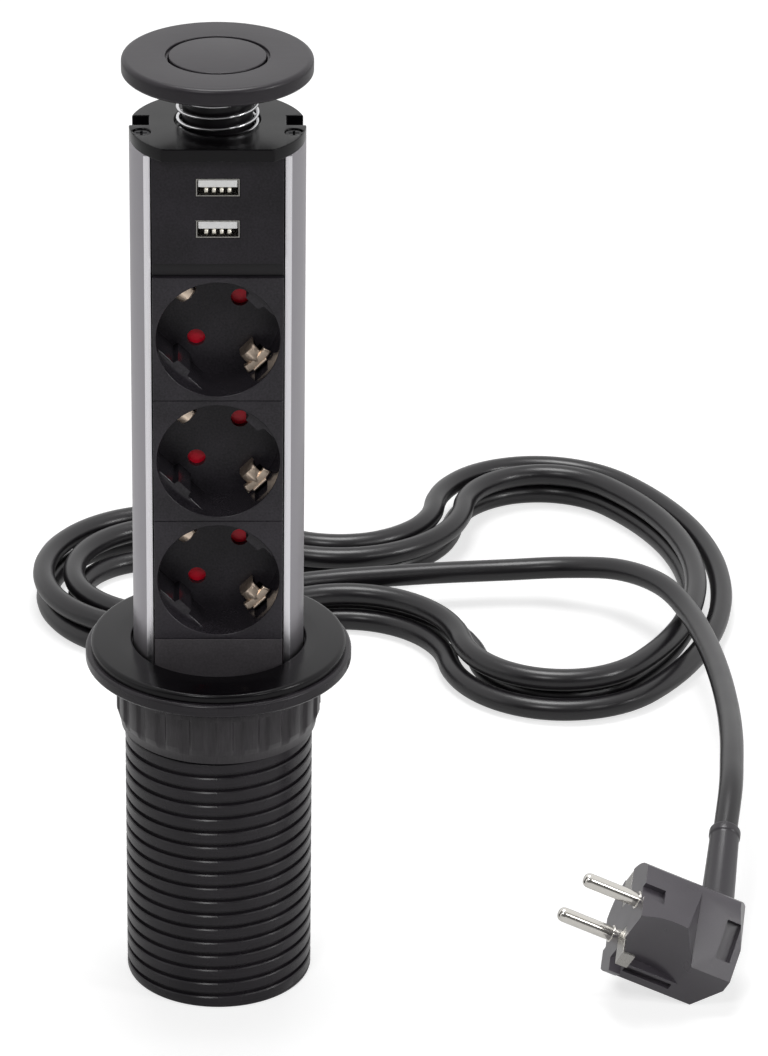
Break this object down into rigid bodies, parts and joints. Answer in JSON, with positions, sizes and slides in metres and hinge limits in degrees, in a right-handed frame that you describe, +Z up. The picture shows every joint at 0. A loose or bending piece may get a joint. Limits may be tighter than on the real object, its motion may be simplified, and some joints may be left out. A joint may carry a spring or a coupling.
{
  "type": "pop up desk socket",
  "caption": "Pop-up desk socket: a round tower with recessed mains outlets and USB ports slides up from a threaded flanged desk grommet, with sprung lid, cord and angled plug.",
  "frame": {"origin": "centre of the sleeve's lower rim, on the surface that the unit stands on", "axes": "+Z up along the tower, -Y out of the socket panel, +X to the right seen from the front"},
  "size_m": [0.2569, 0.3933, 0.3156],
  "materials": {
    "charcoal_plastic": "semi-matte, faint streaks",
    "gloss_black": "polished",
    "panel_black": "fine grain",
    "grey_plastic": "satin",
    "inner_plastic": "plain",
    "aluminium_satin": "satin, drawn along the length",
    "spring_steel": "bright drawn wire",
    "screw_steel": "plain",
    "nickel": "bright plate",
    "earth_metal": "pale nickel brass",
    "copper_alloy": "plain",
    "red_plastic": "satin",
    "white_plastic": "plain",
    "board_green": "lacquer",
    "cord_pvc": "smooth",
    "plug_grey": "fine grain"
  },
  "bodies": {
    "sleeve": {"threaded_sleeve": "charcoal_plastic", "bezel_ring": "gloss_black", "guide_ring": "inner_plastic"},
    "tower": {"tower_profile": "aluminium_satin", "top_plate": "panel_black", "top_screws": "screw_steel", "foot_cap": "inner_plastic", "foot_screws": "screw_steel", "cable_gland": "cord_pvc", "usb_module": "panel_black", "usb_shell_upper": "nickel", "usb_shell_lower": "nickel", "usb_tongue_upper": "white_plastic", "usb_tongue_lower": "white_plastic", "usb_contacts_upper": "copper_alloy", "usb_contacts_lower": "copper_alloy", "usb_board": "board_green", "band_strip": "panel_black", "blank_panel": "panel_black", "socket_upper": "panel_black", "socket_middle": "panel_black", "socket_lower": "panel_black", "pin_plate_upper": "panel_black", "pin_plate_middle": "panel_black", "pin_plate_lower": "panel_black", "contact_carrier_upper": "inner_plastic", "contact_carrier_middle": "inner_plastic", "contact_carrier_lower": "inner_plastic", "earth_clip_upper": "earth_metal", "earth_clip_middle": "earth_metal", "earth_clip_lower": "earth_metal", "live_busbar": "copper_alloy", "neutral_busbar": "copper_alloy", "lid_spring": "spring_steel", "cord_tail": "cord_pvc", "cord_hank": "cord_pvc", "cord_lead": "cord_pvc", "plug_body": "plug_grey", "plug_pins": "nickel", "plug_earth_strips": "nickel", "plug_boot": "plug_grey"},
    "washer": {"nut_washer": "charcoal_plastic"},
    "nut": {"lock_nut": "charcoal_plastic"},
    "lid": {"lid_disc": "grey_plastic", "lid_stem": "grey_plastic", "stem_retainer": "inner_plastic", "button_spring": "spring_steel"},
    "button": {"button_cap": "grey_plastic"},
    "shutter_upper": {"shutter_upper": "red_plastic"},
    "shutter_middle": {"shutter_middle": "red_plastic"},
    "shutter_lower": {"shutter_lower": "red_plastic"}
  },
  "joints": [
    {"name": "tower_slide", "type": "slide", "parent": "sleeve", "child": "tower", "axis": [0, 0, 1], "range_m": [-0.178, 0]},
    {"name": "washer_slide", "type": "slide", "parent": "sleeve", "child": "washer", "axis": [0, 0, 1], "range_m": [-0.078, 0]},
    {"name": "nut_turn", "type": "hinge", "parent": "washer", "child": "nut", "pos_m": [0, 0, 0.1], "axis": [0, 0, 1], "range_deg": [-5620, 1]},
    {"name": "lid_press", "type": "slide", "parent": "tower", "child": "lid", "axis": [0, 0, 1], "range_m": [-0.012, 0], "stiffness_N_per_m": 300, "springref_m": 0.004, "deforming": ["lid_spring"]},
    {"name": "button_press", "type": "slide", "parent": "lid", "child": "button", "axis": [0, 0, 1], "range_m": [-0.0025, 0], "stiffness_N_per_m": 400, "springref_m": 0.001, "deforming": ["button_spring"]},
    {"name": "shutter_upper_turn", "type": "hinge", "parent": "tower", "child": "shutter_upper", "pos_m": [0, 0.0026, 0.2298], "axis": [0, 1, 0], "range_deg": [0, 50], "stiffness_Nm_per_rad": 0.004, "springref_deg": -5.73},
    {"name": "shutter_middle_turn", "type": "hinge", "parent": "tower", "child": "shutter_middle", "pos_m": [0, 0.0026, 0.1888], "axis": [0, 1, 0], "range_deg": [0, 50], "stiffness_Nm_per_rad": 0.004, "springref_deg": -5.73},
    {"name": "shutter_lower_turn", "type": "hinge", "parent": "tower", "child": "shutter_lower", "pos_m": [0, 0.0026, 0.1478], "axis": [0, 1, 0], "range_deg": [0, 50], "stiffness_Nm_per_rad": 0.004, "springref_deg": -5.73}
  ],
  "couplings": [
    {"joint": "nut_turn", "follows": "washer_slide", "rad_per_m": 1256.6}
  ]
}
